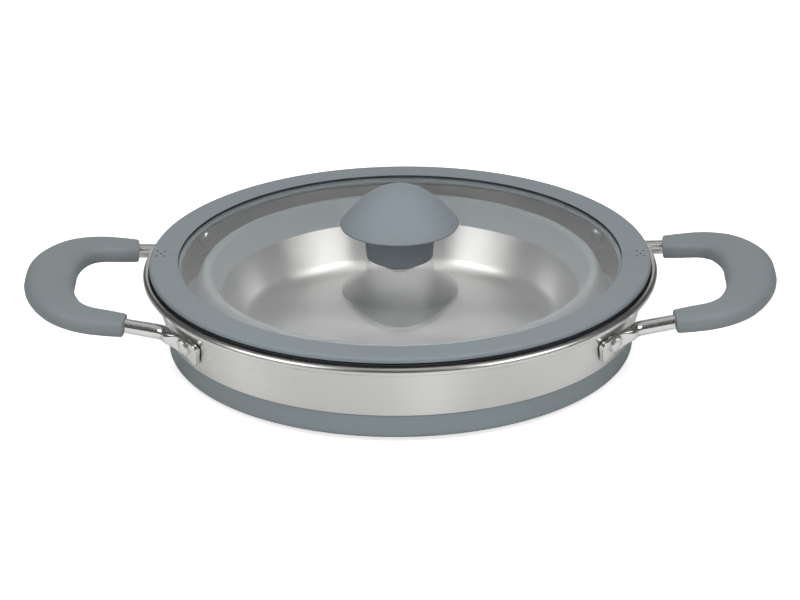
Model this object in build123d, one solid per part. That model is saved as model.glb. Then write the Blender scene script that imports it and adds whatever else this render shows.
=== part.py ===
"""Collapsible camping pot, folded flat with its lid on. Millimetres, +Z up, standing on z = 0, handles along X."""

from build123d import *
from math import asin, atan2, cos, degrees, hypot, pi, radians, sin, sqrt, tan
import os

os.makedirs("parts", exist_ok=True)

# Base: pan, aluminium disc and closing cup
pan_foot_radius = 77.0
pan_sheet = 0.9
pan_corner = 9.0
pan_wall_height = 20.9
pan_step_rise = 1.8
pan_step_corner = 0.8
pan_lip_length = 5.2
cap_inset = 4.7
cap_sheet = 0.7
cap_corner = 2.5
cap_wall_gap = 0.2
spreader_gap = 1.8
spreader_thickness = 3.5

# Silicone wall: three legs joined by a low outer fold and a high inner crest
wall_thickness = 2.6
crest_overhang = 15.7
fold_width = 16.6
leg_rise = 33.5
leg_bend_width = 3.0
fold_ground_gap = 2.0
leg_shift = 1.0
outer_leg_bulge = 2.7
outer_leg_lean = 1.2
outer_leg_height = 10.5
inner_leg_lean = 21.8
crest_rounding = 2.4
crest_flat = 1.7
lip_cover = 1.0
pan_skirt_drop = 4.5
pan_skirt_width = 1.6
leg_curve_points = 13
split_gap = 0.02

# Steel ring that pinches the silicone on the pan
pan_ring_sheet = 0.8
pan_ring_height = 7.0
pan_ring_start = 0.6

# Rim band with its rolled edge
band_sheet = 1.0
band_step = 0.46
curl_outreach = 8.82
curl_rise = 26.0
curl_radius = 2.0
curl_turn = 245.0

# Silicone bead in the band's foot and the ring that pinches it
bead_thickness = 1.5
bead_length = 7.5
bead_start = 0.3
rim_ring_sheet = 0.8
rim_ring_start = 0.8

# Handles: round rod with a flattened tab at each end, riveted to the band
rod_radius = 3.5
tab_thickness = 2.5
tab_gap = 0.03
tab_free_reach = 12.2
tab_top_rise = 3.8
tab_foot_reach = 5.0
tab_foot_drop = 10.8
tab_neck_reach = 12.0
tab_neck_rise = 3.1
tab_neck_drop = 4.2
tab_top_corner = 3.0
tab_foot_corner = 4.0
rod_root_reach = 9.4
rod_root_height = 14.35
rod_standoff = 0.3
rod_tangent_run = 8.0
rod_root_bend = 14.0
handle_rise = 6.0

# Grips: silicone sleeves, placed outwards from the rim's edge and inwards from the rod's first bend
grip_rim_gap = 6.0
grip_mouth_inset = 4.2
shoulder_reach = 25.9
shoulder_inset = 2.7
loop_reach = 39.0
loop_end_inset = 23.8
mouth_bend = 30.0
shoulder_bend = 23.3
end_bend = 56.0
grip_mouth_width = 13.7
grip_leg_width = 18.2
grip_end_width = 24.4
grip_mouth_height = 9.2
grip_end_height = 12.6
grip_edge_share = 0.42
grip_rod_clearance = 0.05
grip_leg_length = 11.7
grip_loop_stations = 11

# Rivets
rivet_azimuth = 32.8
rivet_middle = 15.4
rivet_shank_radius = 2.4
rivet_hole_clearance = 0.05
rivet_head_radius = 4.3
rivet_head_height = 2.4
rivet_tail_radius = 3.6
rivet_tail_height = 1.9
washer_radius = 4.8
washer_thickness = 0.8
washer_gap = 0.12

# Lid: silicone ring that sits on the rolled edge, and the glass it holds
seat_inset = 1.5
seat_gap = 0.35
seal_height = 4.53
seal_overhang = 0.5
seal_width = 14.0
seal_edge_rounding = 1.5
seal_face_height = 2.5
seal_groove_depth = 0.7
seal_groove_height = 0.5
seal_under_reach = 1.4
seal_under_thickness = 2.0
skirt_thickness = 2.3
skirt_depth = 11.4
skirt_clearance = 0.5
skirt_draft = 0.6
glass_grip = 2.0
glass_thickness = 4.0
glass_edge_drop = 1.3
glass_dome_rise = 0.9
glass_hole_radius = 4.0
drain_hole_radius = 1.2
drain_hole_count = 7
drain_hole_pitch = 2.4
drain_hole_rise = 2.1

# Knob, screw and washers
gasket_thickness = 0.5
gasket_radius = 14.5
collar_foot_radius = 15.9
collar_top_radius = 17.5
collar_height = 17.5
collar_wall = 2.4
collar_floor = 3.0
collar_foot_chamfer = 0.6
knob_overhang = 10.85
knob_rim_height = 0.8
knob_dome_height = 18.9
knob_under_rise = 1.2
knob_wall = 3.2
boss_wall = 3.0
boss_gap = 0.2
insert_wall = 1.45
insert_length = 10.0
insert_depth = 0.6
screw_radius = 2.5
screw_length = 20.0
screw_clearance = 0.25
thread_clearance = 0.05
screw_head_radius = 4.6
screw_head_height = 2.6
screw_slot_width = 1.2
screw_slot_depth = 1.2
screw_washer_radius = 8.0
screw_washer_thickness = 1.2
screw_tip_gap = 1.0
under_gasket_radius = 9.5
under_gasket_thickness = 1.5

# Radii that follow from the sizes above
cap_radius = pan_foot_radius - cap_inset
spreader_radius = cap_radius - cap_sheet - spreader_gap
crest_radius = pan_foot_radius + crest_overhang
fold_radius = crest_radius + fold_width
outer_leg_radius = fold_radius + outer_leg_bulge
outer_leg_flare = outer_leg_height * tan(radians(outer_leg_lean))
band_foot_radius = outer_leg_radius + outer_leg_flare + band_step
curl_centre_radius = band_foot_radius + curl_outreach
rim_edge_radius = curl_centre_radius + curl_radius
seal_lip_radius = curl_centre_radius - seat_inset
seal_radius = seal_lip_radius + seal_overhang
seal_inner_radius = seal_radius - seal_width
seal_under_radius = seal_inner_radius - seal_under_reach
glass_radius = seal_inner_radius + glass_grip
knob_radius = collar_top_radius + knob_overhang
insert_radius = screw_radius + thread_clearance + insert_wall
boss_radius = insert_radius + boss_wall

# Levels and angles that follow from the sizes above
pan_floor_underside = cap_sheet + spreader_thickness
pan_floor_z = pan_floor_underside + pan_sheet
fold_z = fold_ground_gap + wall_thickness / 2
crest_z = fold_z + leg_rise
crest_top_z = crest_z + wall_thickness / 2
seam_z = pan_floor_z + pan_wall_height
lip_foot_z = seam_z + pan_step_rise
skirt_z = seam_z - pan_skirt_drop
extension_travel = 2 * leg_rise
band_foot_z = fold_z + outer_leg_height
curl_centre_z = band_foot_z + curl_rise
curl_distance = hypot(curl_outreach, curl_rise)
band_lean = atan2(curl_outreach, curl_rise) - asin((curl_radius - band_sheet) / curl_distance)
band_length = sqrt(curl_distance**2 - (curl_radius - band_sheet) ** 2)
rod_root_z = band_foot_z + rod_root_height
seal_lip_z = curl_centre_z + sqrt(curl_radius**2 - seat_inset**2) + seat_gap
seal_top_z = seal_lip_z + seal_height
glass_edge_z = seal_top_z - glass_edge_drop
glass_top_z = glass_edge_z + glass_dome_rise
knob_foot_z = glass_top_z + gasket_thickness
collar_top_z = knob_foot_z + collar_height
knob_rim_z = collar_top_z - knob_under_rise
knob_apex_z = knob_rim_z + knob_rim_height + knob_dome_height
boss_foot_z = knob_foot_z + collar_floor + boss_gap
insert_top_z = boss_foot_z + insert_depth + insert_length
under_gasket_top_z = glass_top_z - glass_dome_rise * (under_gasket_radius / glass_radius) ** 2 - glass_thickness
screw_washer_top_z = under_gasket_top_z - under_gasket_thickness
screw_seat_z = screw_washer_top_z - screw_washer_thickness


def spin(face, azimuth=0.0, arc=360.0):
    """Turn a face drawn as (radius, height) about the pot's axis."""
    return Rot(0, 0, azimuth) * revolve(Plane.XZ * face, Axis.Z, arc)


def outline(*corners):
    """A closed outline through (radius, height) corners, each with its rounding where it has one."""
    points = [corner[:2] for corner in corners]
    roundings = [corner[2] if len(corner) > 2 else 0 for corner in corners]
    return make_face(FilletPolyline(*points, radius=roundings, close=True))


def bent_sheet(thickness, *corners):
    """Section of a bent sheet. The corners run along one face, and the sheet lies to the right of them."""
    points = [Vector(corner[0], corner[1]) for corner in corners]
    bends = [corner[2] if len(corner) > 2 else 0 for corner in corners]
    runs = [(b - a).normalized() for a, b in zip(points, points[1:])]
    sides = [Vector(run.Y, -run.X) for run in runs]
    far_side = [points[0] + sides[0] * thickness]
    far_bends = [0]
    for point, bend, before, after, run, next_run in zip(points[1:], bends[1:], sides, sides[1:], runs, runs[1:]):
        middle = (before + after).normalized()
        far_side.append(point + middle * (thickness / middle.dot(before)))
        turns_left = run.cross(next_run).Z > 0
        far_bends.append(bend + thickness if turns_left else max(bend - thickness, 0))
    far_side.append(points[-1] + sides[-1] * thickness)
    far_bends.append(0)
    near = [(point.X, point.Y, bend) for point, bend in zip(points, bends)]
    far = [(point.X, point.Y, bend) for point, bend in zip(far_side, far_bends)]
    return outline(*near, *reversed(far))


def ring(inner, outer, low, high):
    return spin(outline((inner, low), (outer, low), (outer, high), (inner, high)))


def disc(radius, low, high):
    return Pos(0, 0, low) * Cylinder(radius, high - low, align=(Align.CENTER, Align.CENTER, Align.MIN))


def eased(share, bend):
    """A straight climb from 0 to 1 with a parabola of this share of the way at each end."""
    share = min(max(share, 0.0), 1.0)
    near = min(share, 1 - share)
    climbed = near**2 / (2 * bend) if near < bend else near - bend / 2
    climbed /= 1 - bend
    return climbed if share < 0.5 else 1 - climbed


def on_band(along, depth):
    """The point that lies along the band's slope from its foot, and deeper than its outer face."""
    radius = band_foot_radius + along * sin(band_lean) - depth * cos(band_lean)
    height = band_foot_z + along * cos(band_lean) + depth * sin(band_lean)
    return radius, height


def band_radius_at(height, depth):
    """Radius of the band, or of a face parallel to it, at a height."""
    foot_radius, foot_height = on_band(0, depth)
    return foot_radius + (height - foot_height) * tan(band_lean)


def inner_leg_radius(height):
    """Radius of the silicone's inner leg, on the face that looks into the pot."""
    return crest_radius - crest_flat - (crest_top_z - height) * tan(radians(inner_leg_lean))


def inner_leg_back_radius(height):
    """Radius of the silicone's inner leg on its hidden face."""
    return inner_leg_radius(height) + wall_thickness / cos(radians(inner_leg_lean))


def fold_curve(radius, shift, drop):
    """Height of the middle leg's face: straight, but for a short bend at the crest and at the fold."""
    share = (radius - crest_radius + shift) / fold_width
    return crest_z - drop - leg_rise * eased(share, leg_bend_width / fold_width)


def glass_top(radius):
    return glass_top_z - glass_dome_rise * (radius / glass_radius) ** 2


def make_base_pan():
    seam_radius = inner_leg_radius(seam_z)
    lip_foot = (inner_leg_radius(lip_foot_z) + lip_cover, lip_foot_z, pan_step_corner)
    lip_top_z = lip_foot_z + pan_lip_length
    lip_top = (inner_leg_radius(lip_top_z) + lip_cover, lip_top_z)
    floor_end = (pan_foot_radius, pan_floor_z, pan_corner)
    return spin(bent_sheet(pan_sheet, (0, pan_floor_z), floor_end, (seam_radius, seam_z, pan_step_corner), lip_foot, lip_top))


def make_heat_spreader():
    return disc(spreader_radius, cap_sheet, pan_floor_underside)


def make_base_cap():
    outer_foot = (cap_radius, 0, cap_corner)
    wall_top = (cap_radius, pan_floor_underside - cap_wall_gap)
    return spin(bent_sheet(cap_sheet, wall_top, outer_foot, (0, 0)))


def make_wall_lower(pan):
    under_z = fold_curve(crest_radius, leg_shift, wall_thickness / 2)
    skirt_radius = inner_leg_back_radius(skirt_z)
    section = outline(
        (inner_leg_radius(seam_z), seam_z),
        (crest_radius - crest_flat, crest_top_z, crest_rounding),
        (crest_radius, crest_top_z),
        (crest_radius, under_z),
        (inner_leg_back_radius(under_z), under_z),
        (skirt_radius, skirt_z),
        (skirt_radius - pan_skirt_width, skirt_z),
    )
    return spin(section) - pan


def make_wall_fold():
    steps = [i / (leg_curve_points - 1) for i in range(leg_curve_points)]
    crest_side = crest_radius + split_gap
    fold_side = fold_radius - split_gap
    radii = [crest_side + (fold_side - crest_side) * step for step in steps]
    upper = Spline(*[(r, fold_curve(r, -leg_shift, -wall_thickness / 2)) for r in radii])
    lower = Spline(*[(r, fold_curve(r, leg_shift, wall_thickness / 2)) for r in radii])
    ends = [Line(upper @ 0, lower @ 0), Line(upper @ 1, lower @ 1)]
    return spin(make_face([upper, lower, *ends]))


def make_wall_upper():
    inner_radius = outer_leg_radius - wall_thickness
    bead_top = bead_start + bead_length
    section = outline(
        (fold_radius, fold_ground_gap),
        (outer_leg_radius, fold_ground_gap, outer_leg_bulge),
        (outer_leg_radius + outer_leg_flare, band_foot_z - split_gap),
        on_band(0, band_sheet),
        on_band(bead_top, band_sheet),
        on_band(bead_top, band_sheet + bead_thickness),
        on_band(rim_ring_start, band_sheet + bead_thickness),
        (inner_radius, on_band(rim_ring_start, band_sheet + bead_thickness)[1]),
        (inner_radius, fold_curve(fold_radius, -leg_shift, -wall_thickness / 2)),
        (fold_radius, fold_curve(fold_radius, -leg_shift, -wall_thickness / 2)),
    )
    return spin(section)


def make_pan_clamp_ring():
    low = skirt_z + pan_ring_start
    high = low + pan_ring_height
    return spin(bent_sheet(pan_ring_sheet, (inner_leg_back_radius(low), low), (inner_leg_back_radius(high), high)))


def make_rim_band():
    slope = [on_band(0, 0), on_band(band_length, 0), on_band(band_length, band_sheet), on_band(0, band_sheet)]
    curl_start = 180 - degrees(band_lean)
    curl = ring_sector(curl_centre_radius, curl_centre_z, curl_radius - band_sheet, curl_radius, curl_start, -curl_turn)
    return spin(outline(*slope)) + spin(curl)


def ring_sector(centre_radius, centre_z, inner, outer, start, turn):
    """Face between two arcs about one centre."""
    centre = Vector(centre_radius, centre_z)

    def at(radius, angle):
        return centre + Vector(radius * cos(radians(angle)), radius * sin(radians(angle)))

    outer_arc = ThreePointArc(at(outer, start), at(outer, start + turn / 2), at(outer, start + turn))
    inner_arc = ThreePointArc(at(inner, start), at(inner, start + turn / 2), at(inner, start + turn))
    ends = [Line(at(inner, start), at(outer, start)), Line(at(inner, start + turn), at(outer, start + turn))]
    return make_face([outer_arc, inner_arc, *ends])


def make_rim_clamp_ring():
    bead_top = bead_start + bead_length
    face = band_sheet + bead_thickness
    section = outline(
        on_band(rim_ring_start, face),
        on_band(bead_top, face),
        on_band(bead_top, band_sheet),
        on_band(bead_top + rim_ring_sheet, band_sheet),
        on_band(bead_top + rim_ring_sheet, face + rim_ring_sheet),
        on_band(rim_ring_start, face + rim_ring_sheet),
    )
    return spin(section)


def on_rivet(azimuth, along):
    """Frame on the band's outer face, with its Z axis straight out of the sheet."""
    radius, height = on_band(along, 0)
    turn = radians(azimuth)
    outward = Vector(cos(band_lean) * cos(turn), cos(band_lean) * sin(turn), -sin(band_lean))
    origin = Vector(radius * cos(turn), radius * sin(turn), height)
    return Plane(origin, x_dir=Vector(-sin(turn), cos(turn), 0), z_dir=outward)


def rivet_azimuths():
    return [rivet_azimuth, 180 - rivet_azimuth, 180 + rivet_azimuth, 360 - rivet_azimuth]


def rivet_holes():
    hole = Cylinder(rivet_shank_radius + rivet_hole_clearance, 4 * (band_sheet + tab_thickness))
    return [on_rivet(azimuth, rivet_middle) * hole for azimuth in rivet_azimuths()]


def dome(radius, height):
    """A rivet's head: a slice of a sphere on z = 0."""
    ball = (radius**2 + height**2) / (2 * height)
    crown = Pos(0, 0, height - ball) * Sphere(ball)
    return crown & (Pos(0, 0, height / 2) * Box(4 * radius, 4 * radius, height))


def make_rivet():
    inner_face = -(band_sheet + washer_gap + washer_thickness)
    seat = tab_gap + tab_thickness
    shank = Pos(0, 0, inner_face) * disc(rivet_shank_radius, 0, seat - inner_face)
    head = Pos(0, 0, seat) * dome(rivet_head_radius, rivet_head_height)
    tail = Pos(0, 0, inner_face) * Rot(180, 0, 0) * dome(rivet_tail_radius, rivet_tail_height)
    return shank + head + tail


def make_rivets():
    rivet = make_rivet()
    return Compound(children=[on_rivet(azimuth, rivet_middle) * rivet for azimuth in rivet_azimuths()])


def make_rivet_washers():
    plate = Cylinder(washer_radius, washer_thickness) - Cylinder(
        rivet_shank_radius + rivet_hole_clearance, 2 * washer_thickness
    )
    washer = Pos(0, 0, -(band_sheet + washer_gap + washer_thickness / 2)) * plate
    return Compound(children=[on_rivet(azimuth, rivet_middle) * washer for azimuth in rivet_azimuths()])


def rod_root():
    """Radius and azimuth at which the rod's middle line leaves its tab."""
    radius = band_radius_at(rod_root_z, 0) + rod_radius + rod_standoff
    return radius, radians(rivet_azimuth) - rod_root_reach / radius


def handle_plane():
    """Plane of the right handle's loop: its X axis runs outward and up, its Y axis along the pot's Y."""
    rise = radians(handle_rise)
    root_radius, azimuth = rod_root()
    origin = Vector(root_radius * cos(azimuth), 0, rod_root_z)
    return Plane(origin, x_dir=Vector(cos(rise), 0, sin(rise)), z_dir=Vector(-sin(rise), 0, cos(rise)))


def in_handle(x, y):
    """Handle plane coordinates of the point that stands over (x, y)."""
    return (x - handle_plane().origin.X) / cos(radians(handle_rise)), y


def rod_leg():
    """Where the rod leaves its tab, and where it bends away from the band."""
    root_radius, start = rod_root()
    root = (root_radius * cos(start), root_radius * sin(start))
    bend = (root[0] + rod_tangent_run * sin(start), root[1] - rod_tangent_run * cos(start))
    return root, bend


def loop_path(leg, leg_bends):
    """The loop's middle line: a leg, the rounded end and the same leg mirrored."""
    mouth_x = rim_edge_radius + grip_rim_gap
    bend_side = rod_leg()[1][1]
    mouth_side = bend_side - grip_mouth_inset
    shoulder_side = mouth_side - shoulder_inset
    mouth = in_handle(mouth_x, mouth_side)
    shoulder = in_handle(mouth_x + shoulder_reach, shoulder_side)
    loop_end = in_handle(mouth_x + loop_reach, shoulder_side - loop_end_inset)
    half = [*leg, mouth, shoulder, loop_end]
    bends = [*leg_bends, shoulder_bend, end_bend]
    points = half + [(x, -y) for x, y in reversed(half)]
    return handle_plane() * FilletPolyline(*points, radius=bends + bends[::-1])


def rod_path():
    root, bend = rod_leg()
    return loop_path([in_handle(*root), in_handle(*bend)], [rod_root_bend, mouth_bend])


def grip_path():
    return loop_path([], [])


def sweep_rod(path, radius):
    return sweep(Plane(path @ 0, z_dir=path % 0) * Circle(radius), path)


def make_tab(mirrored=False):
    """One flattened end of the rod, lying on the band: widest at its free end, and as high as the rod at its neck."""
    inside = -tab_gap
    outside = -tab_gap - tab_thickness
    section = outline(on_band(0, inside), on_band(band_length, inside), on_band(band_length, outside), on_band(0, outside))
    spread = degrees(2 * tab_free_reach / outer_leg_radius)
    sleeve = spin(section, rivet_azimuth - spread, 2 * spread)
    shape = outline(
        (-tab_neck_reach, -tab_neck_drop),
        (tab_foot_reach, -tab_foot_drop, tab_foot_corner),
        (tab_free_reach, tab_top_rise, tab_top_corner),
        (-tab_neck_reach, tab_neck_rise),
    )
    tab = sleeve & extrude(on_rivet(rivet_azimuth, rivet_middle) * shape, 4 * tab_thickness, both=True)
    return mirror(tab, Plane.XZ) if mirrored else tab


def make_handle_wire(rod):
    path = rod_path()
    ends = [Pos(path @ 0) * Sphere(rod_radius), Pos(path @ 1) * Sphere(rod_radius)]
    wire = rod + ends + [make_tab(), make_tab(mirrored=True)]
    return wire - rivet_holes()


def grip_section(path, at, width, height):
    """Rounded cross-section of the grip, square to its middle line."""
    across = handle_plane().z_dir.cross(path % at)
    place = Plane(path @ at, x_dir=across, z_dir=path % at)
    return place * RectangleRounded(width, height, grip_edge_share * height)


def make_handle_grip():
    path = grip_path()
    leg_share = grip_leg_length / path.length
    sections = [grip_section(path, 0, grip_mouth_width, grip_mouth_height)]
    for i in range(grip_loop_stations):
        along = i / (grip_loop_stations - 1)
        swell = sin(pi * along) ** 2
        width = grip_leg_width + (grip_end_width - grip_leg_width) * swell
        height = grip_mouth_height + (grip_end_height - grip_mouth_height) * swell
        sections.append(grip_section(path, leg_share + (1 - 2 * leg_share) * along, width, height))
    sections.append(grip_section(path, 1, grip_mouth_width, grip_mouth_height))
    return loft(sections) - sweep_rod(rod_path(), rod_radius + grip_rod_clearance)


def make_lid_glass():
    def face_curve(drop):
        radii = [glass_hole_radius, (glass_hole_radius + glass_radius) / 2, glass_radius]
        return ThreePointArc(*[(r, glass_top(r) - drop) for r in radii])

    top = face_curve(0)
    bottom = face_curve(glass_thickness)
    return spin(make_face([top, bottom, Line(top @ 0, bottom @ 0), Line(top @ 1, bottom @ 1)]))


def make_lid_seal(glass):
    skirt_foot_z = seal_top_z - skirt_depth
    skirt_foot = band_radius_at(skirt_foot_z, band_sheet) - skirt_clearance
    skirt_root = band_radius_at(seal_lip_z, band_sheet) - skirt_clearance - skirt_draft
    under_z = glass_top(seal_under_radius) - glass_thickness - seal_under_thickness
    edge_z = seal_top_z - seal_face_height
    groove = seal_lip_radius - seal_groove_depth
    glass_middle_z = glass_edge_z - glass_thickness / 2
    section = outline(
        (seal_inner_radius, seal_top_z),
        (seal_radius, seal_top_z, seal_edge_rounding),
        (seal_radius, edge_z),
        (groove, edge_z),
        (groove, edge_z - seal_groove_height),
        (seal_lip_radius, edge_z - seal_groove_height),
        (seal_lip_radius, seal_lip_z),
        (skirt_root, seal_lip_z),
        (skirt_foot, skirt_foot_z),
        (skirt_foot - skirt_thickness, skirt_foot_z),
        (skirt_foot - skirt_thickness, under_z),
        (seal_under_radius, under_z),
        (seal_under_radius, glass_middle_z),
        (seal_inner_radius, glass_middle_z),
    )
    seal = spin(section) - glass
    hole = Rot(0, 90, 0) * Cylinder(drain_hole_radius, 4 * skirt_thickness)
    row = Pos(skirt_foot - skirt_thickness / 2, 0, skirt_foot_z + drain_hole_rise) * hole
    half_row = drain_hole_pitch * (drain_hole_count - 1) / 2
    turns = [drain_hole_pitch * i - half_row for i in range(drain_hole_count)]
    return seal - [Rot(0, 0, side + turn) * row for side in (0, 180) for turn in turns]


def make_knob_cap():
    def under_dome(radius):
        dome_drop = knob_dome_height * (radius / knob_radius) ** 2
        return knob_apex_z - dome_drop - knob_wall

    hollow_radius = collar_top_radius - collar_wall
    rim_top_z = knob_rim_z + knob_rim_height
    dome_line = Bezier((0, knob_apex_z), (knob_radius / 2, knob_apex_z), (knob_radius, rim_top_z))
    rest = Polyline(
        (knob_radius, rim_top_z),
        (knob_radius, knob_rim_z),
        (collar_top_radius, collar_top_z),
        (hollow_radius, collar_top_z),
        (hollow_radius, under_dome(hollow_radius)),
        (boss_radius, under_dome(boss_radius)),
        (boss_radius, boss_foot_z),
        (0, boss_foot_z),
        (0, knob_apex_z),
    )
    cap = spin(make_face([dome_line, *rest.edges()]))
    screw_bore = disc(screw_radius + screw_clearance, boss_foot_z, screw_seat_z + screw_length + screw_tip_gap)
    return cap - disc(insert_radius, boss_foot_z, insert_top_z) - screw_bore


def make_knob_collar():
    bore = screw_radius + screw_clearance
    section = outline(
        (bore, knob_foot_z),
        (collar_foot_radius, knob_foot_z, collar_foot_chamfer),
        (collar_top_radius, collar_top_z),
        (collar_top_radius - collar_wall, collar_top_z),
        (collar_foot_radius - collar_wall, knob_foot_z + collar_floor),
        (bore, knob_foot_z + collar_floor),
    )
    return spin(section)


def make_knob_insert():
    return ring(screw_radius + thread_clearance, insert_radius, boss_foot_z + insert_depth, insert_top_z)


def make_knob_screw():
    head_low = screw_seat_z - screw_head_height
    head = spin(
        outline(
            (0, head_low),
            (screw_head_radius, head_low, screw_head_height / 2),
            (screw_head_radius, screw_seat_z),
            (0, screw_seat_z),
        )
    )
    slot = Pos(0, 0, head_low) * Box(2 * screw_head_radius, screw_slot_width, 2 * screw_slot_depth)
    return head + disc(screw_radius, screw_seat_z, screw_seat_z + screw_length) - slot


def make_knob_screw_washer():
    return ring(screw_radius + screw_clearance, screw_washer_radius, screw_seat_z, screw_washer_top_z)


def make_knob_gasket():
    return ring(screw_radius + screw_clearance, gasket_radius, glass_top_z, knob_foot_z)


def make_under_gasket():
    return ring(screw_radius + screw_clearance, under_gasket_radius, screw_washer_top_z, under_gasket_top_z)


def main():
    pan = make_base_pan()
    rod = sweep_rod(rod_path(), rod_radius)
    wire = make_handle_wire(rod)
    grip = make_handle_grip()
    glass = make_lid_glass()
    nodes = {
        "base_pan": pan,
        "heat_spreader": make_heat_spreader(),
        "base_cap": make_base_cap(),
        "wall_lower": make_wall_lower(pan),
        "wall_fold": make_wall_fold(),
        "wall_upper": make_wall_upper(),
        "pan_clamp_ring": make_pan_clamp_ring(),
        "rim_band": make_rim_band() - rivet_holes(),
        "rim_clamp_ring": make_rim_clamp_ring(),
        "handle_wire_right": wire,
        "handle_wire_left": mirror(wire, Plane.YZ),
        "handle_grip_right": grip,
        "handle_grip_left": mirror(grip, Plane.YZ),
        "handle_rivets": make_rivets(),
        "rivet_washers": make_rivet_washers(),
        "lid_glass": glass,
        "lid_seal": make_lid_seal(glass),
        "knob_cap": make_knob_cap(),
        "knob_collar": make_knob_collar(),
        "knob_insert": make_knob_insert(),
        "knob_screw": make_knob_screw(),
        "knob_screw_washer": make_knob_screw_washer(),
        "knob_gasket": make_knob_gasket(),
        "under_gasket": make_under_gasket(),
    }
    for name, shape in nodes.items():
        shape.label = name
        export_step(shape, f"parts/{name}.step")
    print("the wall stretches by", extension_travel, "mm")


main()
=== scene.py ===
"""Looks of a collapsible camping pot, folded flat with its lid on. Sizes are written in millimetres."""
import bmesh
import bpy
from math import asin, atan2, cos, degrees, hypot, pi, radians, sin, tan
from mathutils import Matrix, Vector


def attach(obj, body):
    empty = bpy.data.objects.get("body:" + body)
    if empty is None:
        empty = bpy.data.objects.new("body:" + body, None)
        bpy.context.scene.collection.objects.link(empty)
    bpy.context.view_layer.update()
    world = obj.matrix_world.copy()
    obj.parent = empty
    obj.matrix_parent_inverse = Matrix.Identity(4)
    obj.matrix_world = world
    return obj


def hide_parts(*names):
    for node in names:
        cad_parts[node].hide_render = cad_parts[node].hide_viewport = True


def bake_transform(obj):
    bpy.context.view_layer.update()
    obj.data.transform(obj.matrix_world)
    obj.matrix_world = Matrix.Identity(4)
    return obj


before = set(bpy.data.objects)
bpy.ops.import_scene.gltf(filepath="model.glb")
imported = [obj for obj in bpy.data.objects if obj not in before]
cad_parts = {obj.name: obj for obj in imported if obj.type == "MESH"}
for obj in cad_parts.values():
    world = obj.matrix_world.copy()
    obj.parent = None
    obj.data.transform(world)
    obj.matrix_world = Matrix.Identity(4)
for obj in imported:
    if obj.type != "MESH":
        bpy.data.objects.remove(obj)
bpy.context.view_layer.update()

MM = 0.001

# Silicone wall
WALL = 2.6
FOLD_RADIUS = 109.3
CREST_RADIUS = 92.7
CREST_FLAT = 1.7
LEG_RISE = 33.5
LEG_BEND = 0.18
LEG_SHIFT = 1.0
GROUND_GAP = 2.0
INNER_LEAN = 21.8
FOLD_Z = GROUND_GAP + WALL / 2
CREST_Z = FOLD_Z + LEG_RISE
CREST_TOP = CREST_Z + WALL / 2

# Pan
PAN_SHEET = 0.9
PAN_FLOOR = 5.1
PAN_FOOT = 77.0
PAN_CORNER = 9.0
SEAM = PAN_FLOOR + 20.9
LIP_FOOT = SEAM + 1.8
LIP_TOP = LIP_FOOT + 5.2
SKIRT = SEAM - 4.5

# Rim band
BAND_SHEET = 1.0
BAND_FOOT = (112.68, 13.8)
CURL_CENTRE = (121.5, 39.8)
CURL = 2.0
CURL_TURN = 245.0
REACH = hypot(CURL_CENTRE[0] - BAND_FOOT[0], CURL_CENTRE[1] - BAND_FOOT[1])
LEAN = atan2(CURL_CENTRE[0] - BAND_FOOT[0], CURL_CENTRE[1] - BAND_FOOT[1]) - asin((CURL - BAND_SHEET) / REACH)

# Lid
SEAL_TOP = 46.0
SEAL_RADIUS = 120.5
SEAL_INNER = 106.5
SEAL_UNDER = 105.1
SEAL_UNDER_SHEET = 2.0
GROOVE_RADIUS = 119.3
GROOVE_TOP = 43.4
GROOVE_FOOT = 43.0
LIP_RADIUS = 120.0
LIP_Z = 41.5
SEAL_SKIRT_DEPTH = 11.4
SEAL_SKIRT_SHEET = 2.3
SEAL_SKIRT_GAP = 0.5
SEAL_SKIRT_DRAFT = 0.6
DRAIN_RADIUS = 1.2
DRAIN_PITCH = 2.4
DRAIN_RISE = 2.1
DRAINS_ASIDE = 3
MARK_RADIUS = 115.5
MARK_LINE_RADIUS = 109.4
MARK_TURNS = (0.4, -2.5)
GLASS_RADIUS = 108.5
GLASS = 4.0
GLASS_TOP = 45.6
GLASS_RISE = 0.9
GASKET_TOP = 46.1

# Knob
COLLAR_TOP = 63.6
KNOB_RIM = 62.4
KNOB_DOME = 18.9
KNOB_APEX = KNOB_RIM + 0.8 + KNOB_DOME
KNOB_RADIUS = 28.35
COLLAR_RADIUS = 17.5
COLLAR_FOOT = 15.9
COLLAR_WALL = 2.4
STEM_RADIUS = 7.0
STEM_FOOT = 49.3
KNOB_BORE = 2.75

# Handles
ROD = 3.5
TAB_GAP = 0.03
TAB = 2.5
RIVET_AZIMUTH = 32.8
RIVET_ALONG = 15.4
HANDLE_RISE = radians(6.0)
ROOT_X = 106.2
ROOT_Z = 28.15
BEND = (110.0, 50.2)
MOUTH = (129.5, 46.0)
SHOULDER = (155.4, 43.3)
LOOP_END = (168.5, 19.5)
LOOP_BENDS = (23.3, 56.0)
GRIP_WIDTH = 6.85
GRIP_HEIGHT = 4.6


def smooth_step(x):
    x = min(max(x, 0.0), 1.0)
    return x * x * (3 - 2 * x)


def eased(share, bend=LEG_BEND):
    """A straight climb from 0 to 1 with a parabola of this share of the way at each end."""
    share = min(max(share, 0.0), 1.0)
    near = min(share, 1 - share)
    climbed = (near ** 2 / (2 * bend) if near < bend else near - bend / 2) / (1 - bend)
    return climbed if share < 0.5 else 1 - climbed


def on_band(along, depth):
    """Radius and height of a point along the band's slope from its foot, and deeper than its outer face."""
    radius = BAND_FOOT[0] + along * sin(LEAN) - depth * cos(LEAN)
    return radius, BAND_FOOT[1] + along * cos(LEAN) + depth * sin(LEAN)


def inner_leg(height):
    return CREST_RADIUS - CREST_FLAT - (CREST_TOP - height) * tan(radians(INNER_LEAN))


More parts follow.
